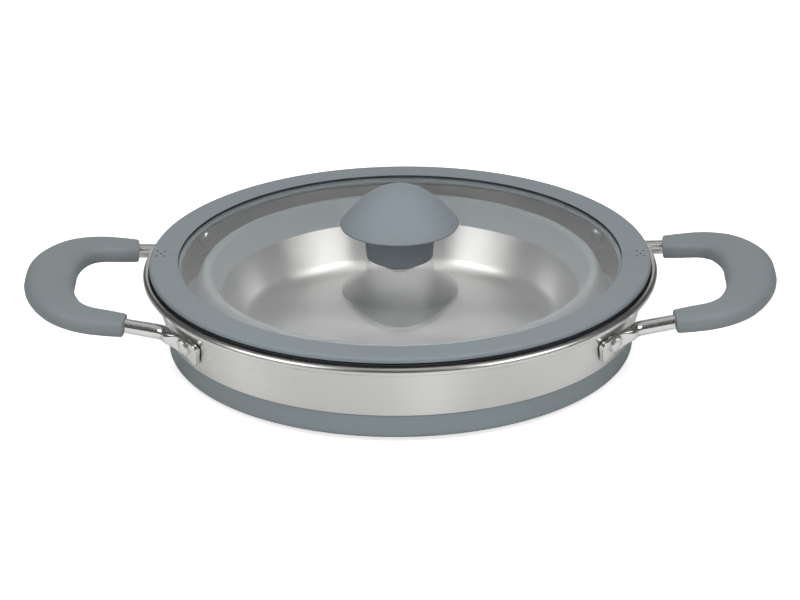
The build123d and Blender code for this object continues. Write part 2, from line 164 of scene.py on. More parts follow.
def fold_face(radius, shift, drop):
    return CREST_Z - drop - LEG_RISE * eased((radius - CREST_RADIUS + shift) / (FOLD_RADIUS - CREST_RADIUS))


def glass_top(radius):
    return GLASS_TOP - GLASS_RISE * (radius / GLASS_RADIUS) ** 2


# Shapes

def outline(*corners):
    """A flat face at y = 0 through (radius, height) corners. A third number rounds that corner."""
    bm = bmesh.new()
    verts = [bm.verts.new((corner[0] * MM, 0, corner[1] * MM)) for corner in corners]
    bm.faces.new(verts)
    for i, corner in enumerate(corners):
        if len(corner) < 3:
            continue
        here, before, after = (Vector(corners[(i + k) % len(corners)][:2]) for k in (0, -1, 1))
        angle = (before - here).angle(after - here)
        reach = corner[2] * MM / tan(angle / 2)
        steps = max(3, int(degrees(pi - angle) / 11))
        bmesh.ops.bevel(bm, geom=[verts[i]], offset=reach, segments=steps, profile=0.5,
                        affect="VERTICES", material=-1)
    return bm


def turned(bm, segments=192):
    """Turn the outline's edge round the pot's axis to a closed skin, without the edges on the axis itself."""
    rim = [e for e in bm.edges if len(e.link_faces) == 1 and max(abs(v.co.x) for v in e.verts) > 1e-7]
    drop = [e for e in bm.edges if e not in rim]
    bmesh.ops.delete(bm, geom=bm.faces[:], context="FACES_ONLY")
    bmesh.ops.delete(bm, geom=drop, context="EDGES")
    geom = bm.verts[:] + bm.edges[:]
    bmesh.ops.spin(bm, geom=geom, cent=(0, 0, 0), axis=(0, 0, 1), angle=2 * pi, steps=segments, use_merge=True)
    bmesh.ops.remove_doubles(bm, verts=bm.verts, dist=1e-6)
    bmesh.ops.recalc_face_normals(bm, faces=bm.faces)
    return bm


def piece(name, bm, material, crease=32):
    """A finished object of this mesh, smooth but for edges sharper than the crease."""
    mesh = bpy.data.meshes.new(name)
    bm.to_mesh(mesh)
    bm.free()
    mesh.shade_smooth()
    mesh.set_sharp_from_angle(angle=radians(crease))
    mesh.materials.append(material)
    obj = bpy.data.objects.new(name, mesh)
    bpy.context.scene.collection.objects.link(obj)
    return obj


def added(bm, other):
    """Copy another mesh into this one."""
    mesh = bpy.data.meshes.new("joined")
    other.to_mesh(mesh)
    other.free()
    bm.from_mesh(mesh)
    bpy.data.meshes.remove(mesh)
    return bm


def placed(bm, matrix):
    bmesh.ops.transform(bm, matrix=matrix, verts=bm.verts)
    return bm


# Materials

def linear(code):
    """sRGB hex to the linear colour that shaders take."""
    parts = [int(code[i:i + 2], 16) / 255 for i in (1, 3, 5)]
    return [p / 12.92 if p <= 0.04045 else ((p + 0.055) / 1.055) ** 2.4 for p in parts] + [1.0]


def node(material, kind, links=(), **values):
    """Add a shader node. Values name its properties or its sockets, links are (socket, output)."""
    made = material.node_tree.nodes.new(kind)
    for name, value in values.items():
        if hasattr(made, name):
            setattr(made, name, value)
        else:
            made.inputs[name.replace("_", " ")].default_value = value
    for socket, output in links:
        material.node_tree.links.new(output, made.inputs[socket])
    return made


def blank(name):
    material = bpy.data.materials.new(name)
    material.use_nodes = True
    material.node_tree.nodes.clear()
    return material


def silicone(name, tint, shade, roughness, grain):
    """Platinum-cured silicone, compression moulded: a satin skin with a faint bloom, and a fine tooth from the
    blasted mould."""
    m = blank(name)
    place = node(m, "ShaderNodeTexCoord").outputs["Object"]
    # cloudy bloom some 40 mm across
    cloud = node(m, "ShaderNodeTexNoise", [("Vector", place)], Scale=25.0, Detail=4.0, Roughness=0.6)
    colour = node(m, "ShaderNodeMix", [("Factor", cloud.outputs["Fac"])], data_type="RGBA")
    colour.inputs["A"].default_value = linear(shade)
    colour.inputs["B"].default_value = linear(tint)
    # mould tooth of about 0.5 mm, drawn coarser than the real 0.1 mm so that it shows
    tooth = node(m, "ShaderNodeTexNoise", [("Vector", place)], Scale=grain, Detail=3.0, Roughness=0.7)
    dull = node(m, "ShaderNodeMapRange", [("Value", cloud.outputs["Fac"])])
    dull.inputs["To Min"].default_value = roughness - 0.05
    dull.inputs["To Max"].default_value = roughness + 0.05
    bump = node(m, "ShaderNodeBump", [("Height", tooth.outputs["Fac"])], Strength=0.12, Distance=0.0001)
    skin = node(m, "ShaderNodeBsdfPrincipled", [("Base Color", colour.outputs["Result"]),
                ("Roughness", dull.outputs["Result"]), ("Normal", bump.outputs["Normal"])], IOR=1.41)
    node(m, "ShaderNodeOutputMaterial", [("Surface", skin.outputs["BSDF"])])
    return m


def turned_steel(name, tint, shade, roughness, line_mm, depth, anisotropy):
    """Stainless steel brushed while it spins: fine rings about the axis, so lights smear into a fan."""
    m = blank(name)
    place = node(m, "ShaderNodeTexCoord").outputs["Object"]
    apart = node(m, "ShaderNodeSeparateXYZ", [("Vector", place)])
    flat = node(m, "ShaderNodeCombineXYZ", [("X", apart.outputs["X"]), ("Y", apart.outputs["Y"])])
    reach = node(m, "ShaderNodeVectorMath", [(0, flat.outputs["Vector"])], operation="LENGTH")
    ring = node(m, "ShaderNodeCombineXYZ", [("X", reach.outputs["Value"]), ("Z", apart.outputs["Z"])])
    # the lines are not quite closed: each fades out after ten times its own width
    along = node(m, "ShaderNodeCombineXYZ", [("Y", apart.outputs["X"]), ("Z", apart.outputs["Y"])])
    slow = node(m, "ShaderNodeVectorMath", [(0, along.outputs["Vector"])], operation="SCALE")
    slow.inputs["Scale"].default_value = 0.1
    ends = [(0, ring.outputs["Vector"]), (1, slow.outputs["Vector"])]
    radius = node(m, "ShaderNodeVectorMath", ends, operation="ADD").outputs["Vector"]
    lines = node(m, "ShaderNodeTexNoise", [("Vector", radius)], Scale=1000.0 / line_mm, Detail=4.0,
                 Roughness=0.75)
    broad = node(m, "ShaderNodeTexNoise", [("Vector", radius)], Scale=220.0 / line_mm, Detail=2.0)
    both = node(m, "ShaderNodeMath", [(0, lines.outputs["Fac"]), (1, broad.outputs["Fac"])], operation="ADD")
    spread = node(m, "ShaderNodeMapRange", [("Value", both.outputs["Value"])])
    spread.inputs["From Max"].default_value = 2.0
    spread.inputs["To Min"].default_value = roughness - 0.08
    spread.inputs["To Max"].default_value = roughness + 0.08
    bump = node(m, "ShaderNodeBump", [("Height", both.outputs["Value"])], Strength=depth, Distance=0.00005)
    round_z = node(m, "ShaderNodeTangent", direction_type="RADIAL", axis="Z")
    # painted reflection: soft lighter and darker patches some 60 mm wide, standing in for the uneven floor seen in
    # the steel
    painted_reflection_patch = node(m, "ShaderNodeTexNoise", [("Vector", flat.outputs["Vector"])], Scale=17.0, Detail=1.0)
    clear = node(m, "ShaderNodeMapRange", [("Value", painted_reflection_patch.outputs["Fac"])])
    clear.inputs["From Min"].default_value = 0.38
    clear.inputs["From Max"].default_value = 0.62
    colour = node(m, "ShaderNodeMix", [("Factor", clear.outputs["Result"])], data_type="RGBA")
    colour.inputs["A"].default_value = linear(shade)
    colour.inputs["B"].default_value = linear(tint)
    skin = node(m, "ShaderNodeBsdfPrincipled",
                [("Base Color", colour.outputs["Result"]), ("Roughness", spread.outputs["Result"]),
                 ("Normal", bump.outputs["Normal"]), ("Tangent", round_z.outputs["Tangent"])],
                Metallic=1.0, Anisotropic=anisotropy, Anisotropic_Rotation=0.25)
    node(m, "ShaderNodeOutputMaterial", [("Surface", skin.outputs["BSDF"])])
    return m


def polished_steel(name, tint, roughness, streak):
    """Stainless rod and rivets, drawn and buffed: near mirror, with faint smears from the buffing wheel."""
    m = blank(name)
    place = node(m, "ShaderNodeTexCoord").outputs["Object"]
    smear = node(m, "ShaderNodeTexNoise", [("Vector", place)], Scale=streak, Detail=5.0, Roughness=0.65)
    spread = node(m, "ShaderNodeMapRange", [("Value", smear.outputs["Fac"])])
    spread.inputs["To Min"].default_value = roughness - 0.04
    spread.inputs["To Max"].default_value = roughness + 0.06
    bump = node(m, "ShaderNodeBump", [("Height", smear.outputs["Fac"])], Strength=0.05, Distance=0.0001)
    skin = node(m, "ShaderNodeBsdfPrincipled",
                [("Roughness", spread.outputs["Result"]), ("Normal", bump.outputs["Normal"])], Metallic=1.0)
    skin.inputs["Base Color"].default_value = linear(tint)
    node(m, "ShaderNodeOutputMaterial", [("Surface", skin.outputs["BSDF"])])
    return m


def tempered_glass(name):
    """Clear tempered soda-lime glass: pressed and polished, the least green, a trace of wiping marks."""
    m = blank(name)
    place = node(m, "ShaderNodeTexCoord").outputs["Object"]
    wipe = node(m, "ShaderNodeTexNoise", [("Vector", place)], Scale=60.0, Detail=6.0, Roughness=0.7)
    spread = node(m, "ShaderNodeMapRange", [("Value", wipe.outputs["Fac"])])
    spread.inputs["To Min"].default_value = 0.0
    spread.inputs["To Max"].default_value = 0.03
    skin = node(m, "ShaderNodeBsdfPrincipled", [("Roughness", spread.outputs["Result"])], IOR=1.5)
    skin.inputs["Transmission Weight"].default_value = 1.0
    skin.inputs["Base Color"].default_value = linear("#FBFBFA")
    # light falls through the lid onto the pan as through air
    clear = node(m, "ShaderNodeBsdfTransparent")
    clear.inputs["Color"].default_value = linear("#F6F6F5")
    path = node(m, "ShaderNodeLightPath")
    both = node(m, "ShaderNodeMixShader",
                [(0, path.outputs["Is Shadow Ray"]), (1, skin.outputs["BSDF"]), (2, clear.outputs["BSDF"])])
    node(m, "ShaderNodeOutputMaterial", [("Surface", both.outputs["Shader"])])
    return m


wall_skin = silicone("silicone_satin_wall", "#909B9E", "#899397", 0.42, 1400.0)
grip_skin = silicone("silicone_matt_grip", "#8A9295", "#848B8E", 0.55, 1800.0)
seal_skin = silicone("silicone_matt_seal", "#8C969A", "#878F94", 0.55, 1800.0)
# painted shade: the mark's five dots, and the ring's edges towards the glass and the band, take this dark silicone
# so that they read as black points or lines
painted_shade_skin = silicone("silicone_painted_shade", "#33373A", "#2C3032", 0.7, 1800.0)
knob_skin = silicone("silicone_matt_knob", "#8D979D", "#889197", 0.55, 1800.0)
# each steel's two tints are the light and dark of its painted reflection patches
pan_skin = turned_steel("stainless_spun_brushed", "#DCDCDB", "#D3D3D2", 0.30, 2.0, 1.0, 0.9)
band_skin = turned_steel("stainless_satin_band", "#ECEBE8", "#DAD9D6", 0.30, 0.7, 0.12, 0.5)
rod_skin = polished_steel("stainless_rod_buffed", "#F2F1EF", 0.16, 90.0)
rivet_skin = polished_steel("stainless_rivet_tumbled", "#F0F0EE", 0.36, 240.0)
ring_skin = turned_steel("stainless_clamp_ring", "#C4C3C1", "#BBBAB8", 0.34, 0.6, 0.15, 0.3)
core_skin = turned_steel("aluminium_rolled_disc", "#CFCFD0", "#C6C6C7", 0.40, 0.8, 0.2, 0.2)
brass_skin = polished_steel("brass_knurled_insert", "#C9A050", 0.30, 300.0)
glass_skin = tempered_glass("glass_tempered_clear")


# Silicone wall, one moulding from the pan's lip over the crest and round the fold up into the band

def wall_outline():
    steps = 26
    span = [CREST_RADIUS + (FOLD_RADIUS - CREST_RADIUS) * i / steps for i in range(steps + 1)]
    upper = [(r, fold_face(r, -LEG_SHIFT, -WALL / 2)) for r in span]
    lower = [(r, fold_face(r, LEG_SHIFT, WALL / 2)) for r in span]
    outer = FOLD_RADIUS + 2.7
    bead = BAND_SHEET + 1.5
    under = fold_face(CREST_RADIUS, LEG_SHIFT, WALL / 2)
    back = WALL / cos(radians(INNER_LEAN))
    return outline(
        (inner_leg(SEAM), SEAM + 0.05, 0.4),
        (CREST_RADIUS - CREST_FLAT, CREST_TOP, 2.4),
        *upper,
        (outer - WALL, fold_face(FOLD_RADIUS, -LEG_SHIFT, -WALL / 2) + 0.4),
        (outer - WALL, on_band(0.8, bead)[1]),
        on_band(0.8, bead),
        on_band(7.8, bead),
        on_band(7.8, BAND_SHEET),
        on_band(0, BAND_SHEET),
        (outer + 0.26, BAND_FOOT[1] - 0.02, 0.25),
        (outer, GROUND_GAP, 2.7),
        *reversed(lower),
        (inner_leg(under) + back, under),
        (inner_leg(SKIRT) + back, SKIRT, 0.6),
        (inner_leg(SKIRT) + back - 1.6, SKIRT),
    )


def make_wall():
    bm = wall_outline()
    rim = [e for e in bm.edges if len(e.link_faces) == 1]
    bmesh.ops.delete(bm, geom=bm.faces[:], context="FACES_ONLY")
    bmesh.ops.delete(bm, geom=[e for e in bm.edges if e not in rim], context="EDGES")
    wall = piece("silicone_wall", bm, wall_skin)
    sweep = wall.modifiers.new("round", "SCREW")
    sweep.axis = "Z"
    sweep.angle = 2 * pi
    sweep.steps = 192
    sweep.render_steps = 192
    sweep.use_merge_vertices = True
    sweep.merge_threshold = 1e-6
    sweep.use_smooth_shade = True
    sweep.use_normal_calculate = True
    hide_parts("wall_lower", "wall_fold", "wall_upper")
    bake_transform(wall)


# Pan, pressed from sheet, with a stepped lip that the silicone covers

def make_pan():
    seam = (inner_leg(SEAM), SEAM)
    lip = (inner_leg(LIP_FOOT) + 1.0, LIP_FOOT)
    top = (inner_leg(LIP_TOP) + 1.0, LIP_TOP)
    bm = turned(outline(
        (0, PAN_FLOOR), (PAN_FOOT, PAN_FLOOR, PAN_CORNER), (seam[0], seam[1], 0.8), (lip[0], lip[1], 0.8), top,
        (top[0] + 0.95, top[1] - 0.3), (lip[0] + 1.2, lip[1] - 0.6, 0.8), (seam[0] + 0.9, seam[1] - 0.4, 0.8),
        (PAN_FOOT + 0.8, PAN_FLOOR - PAN_SHEET, PAN_CORNER + PAN_SHEET), (0, PAN_FLOOR - PAN_SHEET)))
    pan = piece("spun_pan", bm, pan_skin)
    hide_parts("base_pan")
    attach(pan, "base")


# Rim band, sheet steel with its top edge rolled outwards

def make_band():
    bm = bmesh.new()
    start = pi - LEAN
    centre = Vector((CURL_CENTRE[0], 0, CURL_CENTRE[1])) * MM
    arm = [centre + Vector((cos(start), 0, sin(start))) * r * MM for r in (CURL, CURL - BAND_SHEET)]
    ends = [bm.verts.new(p) for p in arm]
    lip = bm.edges.new(ends)
    bmesh.ops.spin(bm, geom=[lip, *ends], cent=centre, axis=(0, 1, 0), angle=radians(CURL_TURN), steps=26)
    section = (on_band(0.3, 0), on_band(0, 0.3), on_band(0, BAND_SHEET))
    foot = [bm.verts.new((r * MM, 0, z * MM)) for r, z in section]
    bm.faces.new((ends[0], *foot, ends[1]))
    bmesh.ops.remove_doubles(bm, verts=bm.verts, dist=1e-7)
    bm = turned(bm, 240)
    band = piece("rolled_rim_band", bm, band_skin)
    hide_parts("rim_band")
    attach(band, "rim")


# Handles: one rod from tab to tab, flattened where it lies on the band

def rounded_path(points, radii, step=1.2):
    """Points along straight runs joined by arcs, each with its direction."""
    found = []
    here = Vector(points[0])
    for i in range(1, len(points) - 1):
        corner, after = Vector(points[i]), Vector(points[i + 1])
        into = (corner - here).normalized()
        out = (after - corner).normalized()
        turn = into.angle(out)
        reach = radii[i - 1] * tan(turn / 2)
        first = corner - into * reach
        count = max(2, int((first - here).length / (4 * step)))
        found += [(here.lerp(first, k / count), into) for k in range(count)]
        side = (out - into * into.dot(out)).normalized()
        middle = first + side * radii[i - 1]
        arcs = max(3, int(radii[i - 1] * turn / step))
        for k in range(arcs):
            a = turn * k / arcs
            spot = middle + into * sin(a) * radii[i - 1] - side * cos(a) * radii[i - 1]
            found.append((spot, into * cos(a) + side * sin(a)))
        here = corner + out * reach
        last = out
    end = Vector(points[-1])
    count = max(2, int((end - here).length / (4 * step)))
    found += [(here.lerp(end, k / count), last) for k in range(count + 1)]
    return found


def in_handle(x, y):
    """Pot frame place of the handle plane's point over (x, y)."""
    return Vector((x, y, ROOT_Z + (x - ROOT_X) * tan(HANDLE_RISE)))


def front(spot):
    """The same for a handle corner, on the side towards the viewer."""
    return in_handle(spot[0], -spot[1])


def ring_at(loop, spot, across, up, half_width, half_height, squareness, seam=0.0):
    """Move a ring of vertices to a rounded cross-section round this spot, with a seam line on both sides."""
    count = len(loop)
    for k, v in enumerate(loop):
        c, s = cos(2 * pi * k / count), sin(2 * pi * k / count)
        x = half_width * abs(c) ** squareness * (1 if c >= 0 else -1)
        y = half_height * abs(s) ** squareness * (1 if s >= 0 else -1)
        if k % (count // 2) == 0:
            x += seam if c > 0 else -seam
        v.co = (spot + across * x + up * y) * MM


def swept(stations, sides=24):
    """A closed tube through stations of (spot, across, up, half width, half height, squareness)."""
    bm = bmesh.new()
    loop = list(bmesh.ops.create_circle(bm, segments=sides, radius=1)["verts"])
    edges = [bm.edges.get((loop[k], loop[k - 1])) for k in range(sides)]
    first = edges
    ring_at(loop, *stations[0])
    for station in stations[1:]:
        grown = bmesh.ops.extrude_edge_only(bm, edges=edges)["geom"]
        fresh = {v for v in grown if isinstance(v, bmesh.types.BMVert)}
        loop = [next(e.other_vert(v) for e in v.link_edges if e.other_vert(v) in fresh) for v in loop]
        edges = [bm.edges.get((loop[k], loop[k - 1])) for k in range(sides)]
        ring_at(loop, *station)
    bmesh.ops.contextual_create(bm, geom=first)
    bmesh.ops.contextual_create(bm, geom=edges)
    bmesh.ops.recalc_face_normals(bm, faces=bm.faces)
    return bm


def mirrored_half(bm, side):
    """Open the half's cap on the middle plane, add its mirror image, and turn it to the left for side -1."""
    caps = [f for f in bm.faces if len(f.verts) > 4 and abs(f.calc_center_median().y) < 1e-4]
    bmesh.ops.delete(bm, geom=caps, context="FACES")
    bmesh.ops.mirror(bm, geom=bm.verts[:] + bm.edges[:] + bm.faces[:], merge_dist=1e-5, axis="Y")
    bmesh.ops.scale(bm, vec=(side, 1, 1), verts=bm.verts)
    bmesh.ops.recalc_face_normals(bm, faces=bm.faces)
    return bm


def rivet_frame(azimuth):
    """Outward, up-slope and place of the band's face at this azimuth, at the rivets' height."""
    turn = radians(azimuth)
    outward = Vector((cos(LEAN) * cos(turn), cos(LEAN) * sin(turn), -sin(LEAN)))
    slope = Vector((sin(LEAN) * cos(turn), sin(LEAN) * sin(turn), cos(LEAN)))
    radius, height = on_band(RIVET_ALONG, 0)
    return outward, slope, Vector((radius * cos(turn), radius * sin(turn), height))


def tab_span(shape, x):
    """Lowest and highest point of the tab's outline at x, measured from the rivet."""
    found = []
    for edge in shape.edges:
        a, b = (v.co / MM for v in edge.verts)
        if min(a.x, b.x) <= x <= max(a.x, b.x) and abs(b.x - a.x) > 1e-6:
            found.append(a.z + (b.z - a.z) * (x - a.x) / (b.x - a.x))
    return min(found), max(found)


def tab_stations():
    """Flattened end of the rod on the band: a fan, wide at its free end, then swelling to the round rod."""
    shape = outline((-14.0, -4.2), (5.0, -10.8, 4.0), (12.2, 3.8, 3.0), (-14.0, 3.3))
    free_end = max(v.co.x for v in shape.verts) / MM
    round_from, flat_until, rod_out, rod_rise = -13.2, -3.6, ROD + 0.3, 0.76
    mm_per_degree = radians(1) * on_band(RIVET_ALONG, 0)[0]
    backs = (0.03, 0.12, 0.3, 0.6, 1.0, 1.5, 2.1, 2.8, 3.6, 4.4, 5.2, 6.0, 6.8, 7.6, 8.6, 10, 12, 14)
    places = [free_end - back for back in backs]
    steps = 14
    places += [flat_until + (round_from - flat_until) * k / steps for k in range(steps)]
    stations = []
    for x in places:
        low, high = tab_span(shape, x)
        ease = smooth_step((flat_until - x) / (flat_until - round_from))
        outward, slope, spot = rivet_frame(-(RIVET_AZIMUTH + x / mm_per_degree))
        middle = (low + high) / 2 * (1 - ease) + rod_rise * ease
        out = (TAB_GAP + TAB / 2) * (1 - ease) + rod_out * ease
        half_height = (high - low) / 2 * (1 - ease) + ROD * ease
        half_width = TAB / 2 * (1 - ease) + ROD * ease
        squareness = 0.36 + 0.64 * ease
        stations.append((spot + outward * out + slope * middle, outward, slope, half_width, half_height, squareness))
    shape.free()
    return stations


def rod_line():
    """Middle line of the right handle's rod from the front tab's root to the middle of the loop."""
    last = tab_stations()[-1][0]
    points = [last, front(BEND), front(MOUTH), front(SHOULDER), front(LOOP_END), in_handle(LOOP_END[0], 0)]
    return rounded_path(points, [7.0, 30.0, *LOOP_BENDS])


def make_wire_half():
    """Front half of the right handle's rod: tab first, then the bend out of the band, then the loop."""
    stations = tab_stations()
    up = Vector((-sin(HANDLE_RISE), 0, cos(HANDLE_RISE)))
    tab_up = stations[-1][2]
    for k, (spot, run) in enumerate(rod_line()[1:]):
        turned_up = tab_up.lerp(up, smooth_step(k / 8))
        across = run.cross(turned_up).normalized()
        stations.append((spot, across, across.cross(run), ROD, ROD, 1.0))
    return swept(stations, 32)


def make_wires():
    for side, name in ((1, "right"), (-1, "left")):
        bm = mirrored_half(make_wire_half(), side)
        wire = piece("bent_rod_" + name, bm, rod_skin, 40)
        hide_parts("handle_wire_" + name)
        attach(wire, "rim")


def grip_stations():
    """Silicone sleeve from its boxy mouth round the front half of the loop, swelling to a flat palm pad."""
    points = [front(MOUTH), front(SHOULDER), front(LOOP_END), in_handle(LOOP_END[0], 0)]
    line = rounded_path(points, LOOP_BENDS, 1.2)
    up = Vector((-sin(HANDLE_RISE), 0, cos(HANDLE_RISE)))
    mouth, along = line[0]
    across = along.cross(up).normalized()
    bore = ROD + 0.1
    stations = [
        (mouth + along * 5.0, across, up, bore, bore, 1.0),
        (mouth + along * 0.4, across, up, bore, bore, 1.0),
        (mouth, across, up, bore + 0.4, bore + 0.2, 0.95),
        (mouth, across, up, 6.1, 4.1, 0.66),
        (mouth + along * 0.25, across, up, 6.6, 4.45, 0.64),
        (mouth + along * 0.9, across, up, GRIP_WIDTH, GRIP_HEIGHT, 0.62),
    ]
    length = 0.0
    total = sum((b - a).length for (a, _), (b, _) in zip(line, line[1:]))
    leg = 11.7
    for (before, _), (spot, run) in zip(line, line[1:]):
        length += (spot - before).length
        spread = smooth_step(length / leg)
        swell = sin(pi / 2 * max(length - leg, 0) / (total - leg)) ** 2
        width = GRIP_WIDTH + 2.25 * spread + 3.1 * swell
        height = GRIP_HEIGHT + 1.7 * swell
        stations.append((spot, run.cross(up).normalized(), up, width, height, 0.62 + 0.16 * swell, 0.12))
    return stations


def make_grips():
    for side, name in ((1, "right"), (-1, "left")):
        bm = mirrored_half(swept(grip_stations(), 48), side)
        grip = piece("loop_grip_" + name, bm, grip_skin, 50)
        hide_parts("handle_grip_" + name)
        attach(grip, "rim")


# Rivets

def dome_outline(radius, height, low):
    ball = (radius ** 2 + height ** 2) / (2 * height)
    edge = asin(radius / ball)
    arc = [(ball * sin(edge * k / 8), low + height - ball + ball * cos(edge * k / 8)) for k in range(9)]
    return arc


def make_rivets():
    joined = bmesh.new()
    seat = TAB_GAP + TAB
    inside = -(BAND_SHEET + 0.92)
    for azimuth in (RIVET_AZIMUTH, 180 - RIVET_AZIMUTH, 180 + RIVET_AZIMUTH, -RIVET_AZIMUTH):
        dome = dome_outline(2.8, 0.75, seat + 1.65)
        head = [*dome, (3.1, seat + 1.5, 0.12), (4.1, seat + 1.45, 0.5), (4.3, seat + 0.5)]
        tail = [(r, inside - z) for r, z in dome_outline(3.6, 1.9, 0)]
        corners = [*head, (4.3, seat, 0.05), (2.4, seat), (2.4, inside), *reversed(tail)]
        bm = turned(outline(*corners), 40)
        radius, height = on_band(RIVET_ALONG, 0)
        turn = radians(azimuth)
        frame_at = Matrix.Translation(Vector((radius * cos(turn), radius * sin(turn), height)) * MM)
        frame_at = frame_at @ Matrix.Rotation(turn, 4, "Z") @ Matrix.Rotation(pi / 2 + LEAN, 4, "Y")
        added(joined, placed(bm, frame_at))
    rivets = piece("domed_rivets", joined, rivet_skin)
    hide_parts("handle_rivets")
    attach(rivets, "rim")


# Lid

def make_glass():
    hole = 4.0
    steps = 10
    span = [hole + 0.5 + (GLASS_RADIUS - hole - 1.0) * k / steps for k in range(steps + 1)]
    top = [(r, glass_top(r)) for r in span]
    bottom = [(r, glass_top(r) - GLASS) for r in reversed(span)]
    edge = GLASS_RADIUS - 0.05
    bm = turned(outline(
        (hole, glass_top(hole) - 0.5), *top, (edge, glass_top(edge) - 0.5), (edge, glass_top(edge) - GLASS + 0.5),
        *bottom, (hole, glass_top(hole) - GLASS + 0.5)), 240)
    glass = piece("lid_glass_disc", bm, glass_skin, 30)
    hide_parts("lid_glass")
    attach(glass, "lid")


def seal_cutter(foot, foot_z):
    """Drain holes through the skirt, and on each side five dots in an X with two fine lines beside them."""
    joined = bmesh.new()
    for side, lean in zip((0, pi), MARK_TURNS):
        for k in range(-DRAINS_ASIDE, DRAINS_ASIDE + 1):
            bm = bmesh.new()
            bmesh.ops.create_cone(bm, cap_ends=True, segments=20, radius1=DRAIN_RADIUS * MM,
                                  radius2=DRAIN_RADIUS * MM, depth=8 * MM)
            turn = Matrix.Rotation(side + radians(DRAIN_PITCH * k), 4, "Z")
            place = turn @ Matrix.Translation(Vector((foot - 1.2, 0, foot_z + DRAIN_RISE)) * MM)
            added(joined, placed(bm, place @ Matrix.Rotation(pi / 2, 4, "Y")))
        turn = Matrix.Rotation(side + radians(lean), 4, "Z")
        for out, along in ((0, 0), (1.7, 3.1), (1.7, -3.1), (-1.7, 3.1), (-1.7, -3.1)):
            bm = bmesh.new()
            bmesh.ops.create_cone(bm, cap_ends=True, segments=16, radius1=0.5 * MM, radius2=0.62 * MM,
                                  depth=2.4 * MM)
            # painted shade: the dots' pit walls take the dark silicone, standing in for the shade inside the pits
            for face in bm.faces:
                face.material_index = 1
            place = turn @ Matrix.Translation(Vector((MARK_RADIUS + out, along, SEAL_TOP)) * MM)
            added(joined, placed(bm, place))
        for along in (1.7, -1.7):
            bm = bmesh.new()
            bmesh.ops.create_cube(bm, size=MM)
            place = turn @ Matrix.Translation(Vector((MARK_LINE_RADIUS, along, SEAL_TOP)) * MM)
            added(joined, placed(bm, place @ Matrix.Diagonal((4.4, 0.3, 0.3, 1))))
    cutter = piece("seal_cutter", joined, seal_skin)
    cutter.data.materials.append(painted_shade_skin)
    return cutter


def band_inside(height):
    """Radius of the band's inner face at this height."""
    radius, foot_z = on_band(0, BAND_SHEET)
    return radius + (height - foot_z) * tan(LEAN)


def make_seal():
    foot_z = SEAL_TOP - SEAL_SKIRT_DEPTH
    foot = band_inside(foot_z) - SEAL_SKIRT_GAP
    root = band_inside(LIP_Z) - SEAL_SKIRT_GAP - SEAL_SKIRT_DRAFT
    under = glass_top(SEAL_UNDER) - GLASS - SEAL_UNDER_SHEET
    bm = turned(outline(
        (SEAL_INNER, SEAL_TOP, 0.2), (SEAL_RADIUS, SEAL_TOP, 1.5), (SEAL_RADIUS, GROOVE_TOP + 0.1, 0.35),
        (GROOVE_RADIUS, GROOVE_TOP, 0.15), (GROOVE_RADIUS, GROOVE_FOOT, 0.15),
        (LIP_RADIUS, GROOVE_FOOT - 0.1, 0.3), (LIP_RADIUS, LIP_Z, 0.6), (root, LIP_Z, 0.5),
        (foot, foot_z, 0.7), (foot - SEAL_SKIRT_SHEET, foot_z, 0.7), (foot - SEAL_SKIRT_SHEET, under, 0.8),
        (SEAL_UNDER, under, 0.9), (SEAL_UNDER, glass_top(SEAL_UNDER) - GLASS, 0.3),
        (SEAL_INNER, glass_top(SEAL_INNER) - GLASS), (GLASS_RADIUS, glass_top(GLASS_RADIUS) - GLASS),
        (GLASS_RADIUS, glass_top(GLASS_RADIUS)), (SEAL_INNER, glass_top(SEAL_INNER))), 240)
    # painted shade: the inner step down to the glass and the groove under the lip take the dark silicone, standing
    # in for the dark gaps there
    for face in bm.faces:
        middle = face.calc_center_median() / MM
        reach = hypot(middle.x, middle.y)
        step_down = abs(reach - SEAL_INNER) < 0.1 and glass_top(SEAL_INNER) < middle.z
        below_lip = reach > 118.0 and LIP_Z - 0.1 < middle.z < 43.45
        face.material_index = int(step_down or below_lip)
    seal = piece("lid_seal_ring", bm, seal_skin)
    seal.data.materials.append(painted_shade_skin)
    cut = seal.modifiers.new("holes", "BOOLEAN")
    cut.operation = "DIFFERENCE"
    cut.solver = "EXACT"
    cut.object = cutter = seal_cutter(foot, foot_z)
    cut_seal = seal.evaluated_get(bpy.context.evaluated_depsgraph_get())
    shape = bpy.data.meshes.new_from_object(cut_seal)
    shape.shade_smooth()
    shape.set_sharp_from_angle(angle=radians(32))
    seal.modifiers.clear()
    bpy.data.objects.remove(cutter)
    seal.data = shape
    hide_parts("lid_seal")
    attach(seal, "lid")


def make_knob():
    steps = 14
    dome = [(KNOB_RADIUS * k / steps, KNOB_APEX - KNOB_DOME * (k / steps) ** 2) for k in range(steps)]
    hollow = COLLAR_RADIUS - COLLAR_WALL
    cap = turned(outline(
        *dome, (KNOB_RADIUS, KNOB_APEX - KNOB_DOME, 0.25), (KNOB_RADIUS, KNOB_RIM, 0.25),
        (COLLAR_RADIUS + 0.6, COLLAR_TOP - 0.05, 1.0), (COLLAR_RADIUS - 0.3, COLLAR_TOP), (hollow, COLLAR_TOP),
        (hollow, 73.0), (STEM_RADIUS, 77.6), (STEM_RADIUS, STEM_FOOT), (0, STEM_FOOT)), 144)
    knob = piece("knob_mushroom_cap", cap, knob_skin)
    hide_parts("knob_cap")
    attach(knob, "lid")
    floor = GASKET_TOP + 3.0
    cup = turned(outline(
        (KNOB_BORE, GASKET_TOP), (COLLAR_FOOT, GASKET_TOP, 0.6), (COLLAR_RADIUS, COLLAR_TOP - 0.1),
        (hollow, COLLAR_TOP - 0.1), (COLLAR_FOOT - COLLAR_WALL, floor, 0.8), (KNOB_BORE, floor)), 120)
    collar = piece("knob_collar_cup", cup, knob_skin)
    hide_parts("knob_collar")
    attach(collar, "lid")


make_wall()
make_pan()
make_band()
make_wires()
make_grips()
make_rivets()
make_glass()
make_seal()
make_knob()

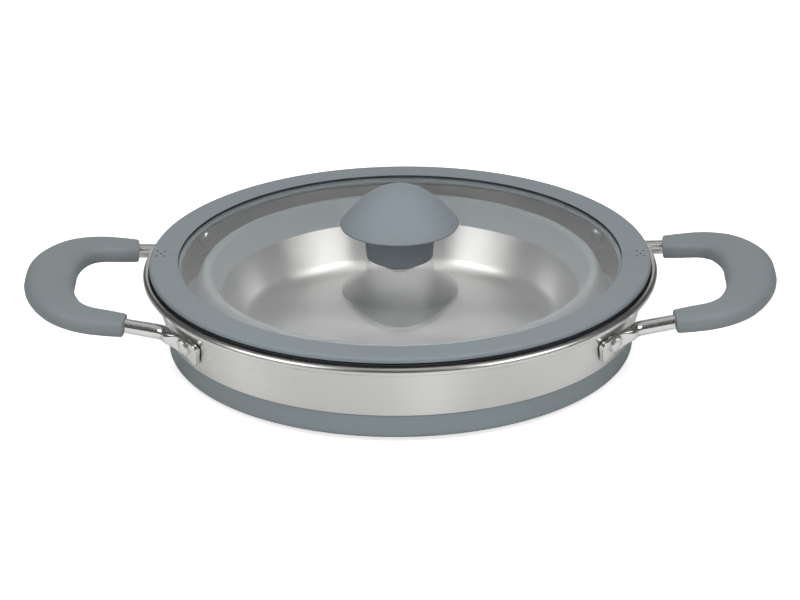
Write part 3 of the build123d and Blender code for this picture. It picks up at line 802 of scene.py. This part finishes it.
carried = {
    "heat_spreader": core_skin,
    "base_cap": pan_skin,
    "pan_clamp_ring": ring_skin,
    "rim_clamp_ring": ring_skin,
    "rivet_washers": rivet_skin,
    "knob_insert": brass_skin,
    "knob_screw": rivet_skin,
    "knob_screw_washer": rivet_skin,
    "knob_gasket": seal_skin,
    "under_gasket": seal_skin,
}
for name, material in carried.items():
    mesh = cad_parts[name].data
    mesh.materials.clear()
    mesh.materials.append(material)


# Camera, at the photograph's angle

def place_camera():
    picture_width, focal_length, distance = 800.0, 3537.0, 1.7
    turn, tilt, roll = 0.010, radians(22.57), 0.0113
    data = bpy.data.cameras.new("view")
    data.sensor_width = 36.0
    data.lens = focal_length * 36.0 / picture_width
    data.shift_x = 0.0001
    data.shift_y = -0.0553
    camera = bpy.data.objects.new("view", data)
    bpy.context.scene.collection.objects.link(camera)
    back = Vector((sin(turn) * cos(tilt), -cos(turn) * cos(tilt), sin(tilt)))
    right = Vector((cos(turn), sin(turn), 0))
    up = back.cross(right)
    x_axis = right * cos(roll) - up * sin(roll)
    y_axis = right * sin(roll) + up * cos(roll)
    spot = Vector((0, 0, 0.046)) + back * distance
    camera.matrix_world = Matrix((
        (x_axis.x, y_axis.x, back.x, spot.x),
        (x_axis.y, y_axis.y, back.y, spot.y),
        (x_axis.z, y_axis.z, back.z, spot.z),
        (0, 0, 0, 1)))
    bpy.context.scene.camera = camera


# Studio: pale floor, soft boxes, white surroundings

def soft_box(name, spot, aim, size, watts):
    data = bpy.data.lights.new(name, "AREA")
    data.shape = "RECTANGLE"
    data.size, data.size_y = size
    data.energy = watts
    lamp = bpy.data.objects.new(name, data)
    lamp.location = spot
    lamp.rotation_euler = (Vector(aim) - Vector(spot)).to_track_quat("-Z", "Y").to_euler()
    bpy.context.scene.collection.objects.link(lamp)
    return lamp


def grey_ramp(world, value, stops, full=1.0):
    """Grey levels along a value. Stops are (place, level), with the place counted up to full."""
    ramp = node(world, "ShaderNodeValToRGB", [("Fac", value)])
    spots = ramp.color_ramp.elements
    while len(spots) < len(stops):
        spots.new(0.5)
    for spot, (place, level) in zip(spots, stops):
        spot.position = place / full
        spot.color = (level, level, level, 1)
    return ramp.outputs["Color"]


def mixed(world, factor, a, b):
    mix = node(world, "ShaderNodeMix", [("Factor", factor)], data_type="RGBA")
    world.node_tree.links.new(a, mix.inputs["A"])
    world.node_tree.links.new(b, mix.inputs["B"])
    return mix.outputs["Result"]


def make_world():
    """White all round for the camera and even light for matt surfaces. What shines sees a studio: a white paper
    sweep behind the pot, two wide soft boxes left and right of the camera, dark walls between them and a grey
    ceiling."""
    world = bpy.data.worlds.new("studio_white")
    bpy.context.scene.world = world
    world.use_nodes = True
    world.node_tree.nodes.clear()
    world.cycles.sampling_method = "NONE"
    look = node(world, "ShaderNodeTexCoord").outputs["Generated"]
    apart = node(world, "ShaderNodeSeparateXYZ", [("Vector", look)])
    rise = node(world, "ShaderNodeMath", [(0, apart.outputs["Z"])], operation="ARCSINE")
    share = node(world, "ShaderNodeMath", [(0, rise.outputs["Value"])], operation="DIVIDE")
    share.inputs[1].default_value = pi / 2
    height = share.outputs["Value"]
    aside = node(world, "ShaderNodeMath", [(0, apart.outputs["X"])], operation="ABSOLUTE")
    ahead = node(world, "ShaderNodeMath", [(0, apart.outputs["Y"])], operation="MULTIPLY")
    ahead.inputs[1].default_value = -1.0
    swing = node(world, "ShaderNodeMath", [(0, aside.outputs["Value"]), (1, ahead.outputs["Value"])],
                 operation="ARCTAN2")
    part = node(world, "ShaderNodeMath", [(0, swing.outputs["Value"])], operation="DIVIDE")
    part.inputs[1].default_value = pi
    around = part.outputs["Value"]
    # degrees above the horizon, brightness as a share of the soft boxes' own
    wall_high = grey_ramp(world, height, ((0, 0.02), (56, 0.02), (66, 0.10), (90, 0.12)), 90)
    box_high = grey_ramp(world, height, ((0, 0.02), (26, 0.02), (33, 1.0), (52, 1.0), (60, 0.08), (90, 0.12)), 90)
    paper_high = grey_ramp(world, height, ((0, 0.24), (12, 0.22), (17, 0.05), (20, 0.07), (24, 0.22), (28, 0.26),
                                            (31, 0.01), (45, 0.02), (62, 0.14), (90, 0.16)), 90)
    # degrees round from the camera's side
    boxed = grey_ramp(world, around, ((0, 0), (36, 0), (46, 1), (78, 1), (96, 0), (180, 0)), 180)
    papered = grey_ramp(world, around, ((0, 0), (158, 0), (165, 1), (180, 1)), 180)
    room = mixed(world, papered, mixed(world, boxed, wall_high, box_high), paper_high)
    lit = node(world, "ShaderNodeVectorMath", [(0, room)], operation="SCALE")
    lit.inputs["Scale"].default_value = 3.8
    path = node(world, "ShaderNodeLightPath")
    # white where the camera looks past or through the object, dimmer where the light falls on matt surfaces
    matt = node(world, "ShaderNodeMath", [(0, path.outputs["Diffuse Depth"])], operation="GREATER_THAN")
    matt.inputs[1].default_value = 0.5
    plain = node(world, "ShaderNodeMix", [("Factor", matt.outputs["Value"])], data_type="RGBA")
    plain.inputs["A"].default_value = (1, 1, 1, 1)
    plain.inputs["B"].default_value = (0.40, 0.40, 0.40, 1)
    mirrored = node(world, "ShaderNodeMath", [(0, path.outputs["Glossy Depth"])], operation="GREATER_THAN")
    mirrored.inputs[1].default_value = 0.5
    shines = node(world, "ShaderNodeMath",
                  [(0, mirrored.outputs["Value"]), (1, path.outputs["Is Glossy Ray"])], operation="MULTIPLY")
    shown = mixed(world, shines.outputs["Value"], plain.outputs["Result"], lit.outputs["Vector"])
    sky = node(world, "ShaderNodeBackground", [("Color", shown)])
    node(world, "ShaderNodeOutputWorld", [("Surface", sky.outputs["Background"])])


def make_floor():
    bm = bmesh.new()
    bmesh.ops.create_grid(bm, x_segments=1, y_segments=1, size=0.9)
    mesh = bpy.data.meshes.new("studio_floor")
    bm.to_mesh(mesh)
    bm.free()
    m = blank("floor_paper_white")
    path = node(m, "ShaderNodeLightPath")
    glow = node(m, "ShaderNodeMath", [(0, path.outputs["Is Camera Ray"])], operation="MULTIPLY")
    glow.inputs[1].default_value = 0.75
    paper = node(m, "ShaderNodeBsdfPrincipled", [("Emission Strength", glow.outputs["Value"])], Roughness=0.9)
    paper.inputs["Base Color"].default_value = linear("#EDEDED")
    paper.inputs["Emission Color"].default_value = linear("#FFFFFF")
    node(m, "ShaderNodeOutputMaterial", [("Surface", paper.outputs["BSDF"])])
    mesh.materials.append(m)
    floor = bpy.data.objects.new("studio_floor", mesh)
    bpy.context.scene.collection.objects.link(floor)


def make_lamps():
    """Lamps for what is matt: name, place, aim, size in metres and watts. What shines sees the world instead."""
    lamps = (
        soft_box("soft_box_top", (0, -0.1, 1.5), (0, 0, 0), (1.4, 1.0), 3.7),
        soft_box("soft_box_near", (0, -0.55, 0.85), (0, 0, 0.04), (0.5, 0.3), 3.9),
        soft_box("soft_box_left", (-1.2, -0.85, 1.25), (0, 0, 0.03), (0.7, 0.8), 1.1),
        soft_box("soft_box_right", (1.2, -0.85, 1.25), (0, 0, 0.03), (0.7, 0.8), 1.1),
    )
    for lamp in lamps:
        lamp.visible_glossy = False


place_camera()
make_world()
make_floor()
make_lamps()
bpy.context.scene.view_settings.view_transform = "Standard"
